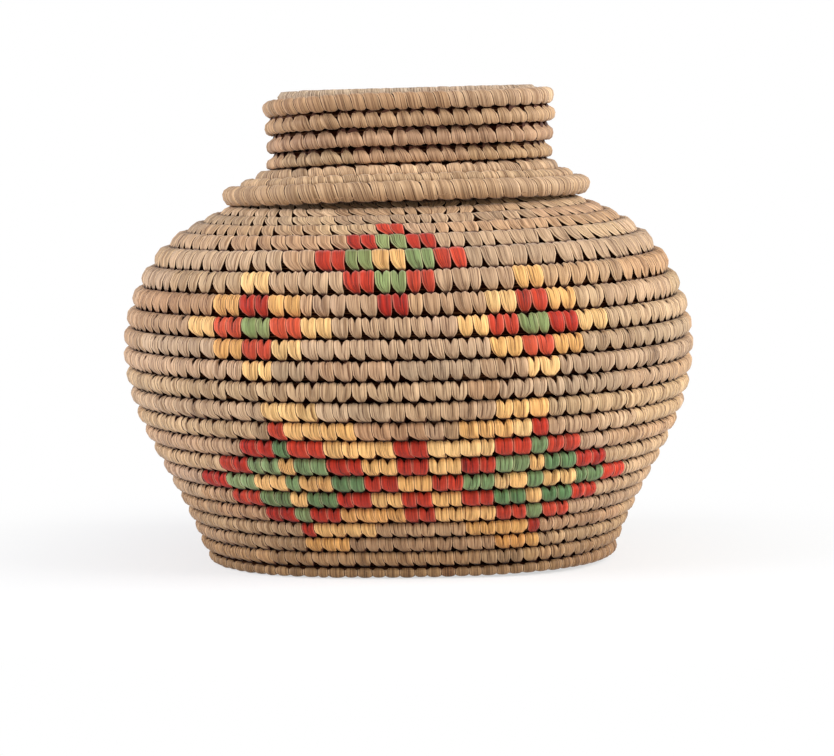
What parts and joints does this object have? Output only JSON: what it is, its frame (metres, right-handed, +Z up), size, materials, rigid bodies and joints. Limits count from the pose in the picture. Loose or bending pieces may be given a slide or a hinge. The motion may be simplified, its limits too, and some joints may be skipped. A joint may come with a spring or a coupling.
{
  "type": "oblong coiled basket with lid",
  "caption": "Oblong coiled grass basket with a swelling wall, drawn-in shoulder and a hat-shaped coiled lid whose collar drops into the mouth.",
  "frame": {"origin": "on the surface the basket stands on, under the middle of its outline", "axes": "+X along the basket's long side, +Z up, and the patterned front faces -Y"},
  "size_m": [0.2002, 0.1502, 0.1668],
  "materials": {
    "floor_grass": "dry grass bundle bound with flat strips, matt",
    "wall_grass": "flat strips of dry tan grass, satin, with stitches in gold, red and green",
    "lid_grass": "flat strips of dry tan grass, satin"
  },
  "bodies": {
    "basket": {"floor_coil": "floor_grass", "wall_row_01": "wall_grass", "wall_row_02": "wall_grass", "wall_row_03": "wall_grass", "wall_row_04": "wall_grass", "wall_row_05": "wall_grass", "wall_row_06": "wall_grass", "wall_row_07": "wall_grass", "wall_row_08": "wall_grass", "wall_row_09": "wall_grass", "wall_row_10": "wall_grass", "wall_row_11": "wall_grass", "wall_row_12": "wall_grass", "wall_row_13": "wall_grass", "wall_row_14": "wall_grass", "wall_row_15": "wall_grass", "wall_row_16": "wall_grass", "shoulder_row_01": "wall_grass", "shoulder_row_02": "wall_grass", "shoulder_row_03": "wall_grass", "shoulder_row_04": "wall_grass", "shoulder_row_05": "wall_grass", "shoulder_row_06": "wall_grass", "mouth_row_01": "wall_grass", "mouth_row_02": "wall_grass"},
    "lid": {"lid_top_coil": "lid_grass", "lid_neck_row_01": "lid_grass", "lid_neck_row_02": "lid_grass", "lid_neck_row_03": "lid_grass", "lid_neck_row_04": "lid_grass", "lid_brim_row_01": "lid_grass", "lid_brim_row_02": "lid_grass", "lid_rim_row": "lid_grass", "lid_collar_row_01": "lid_grass", "lid_collar_row_02": "lid_grass"}
  },
  "joints": [
    {"name": "lid_lift", "type": "slide", "parent": "basket", "child": "lid", "axis": [0, 0, 1], "range_m": [0, 0.06]}
  ]
}
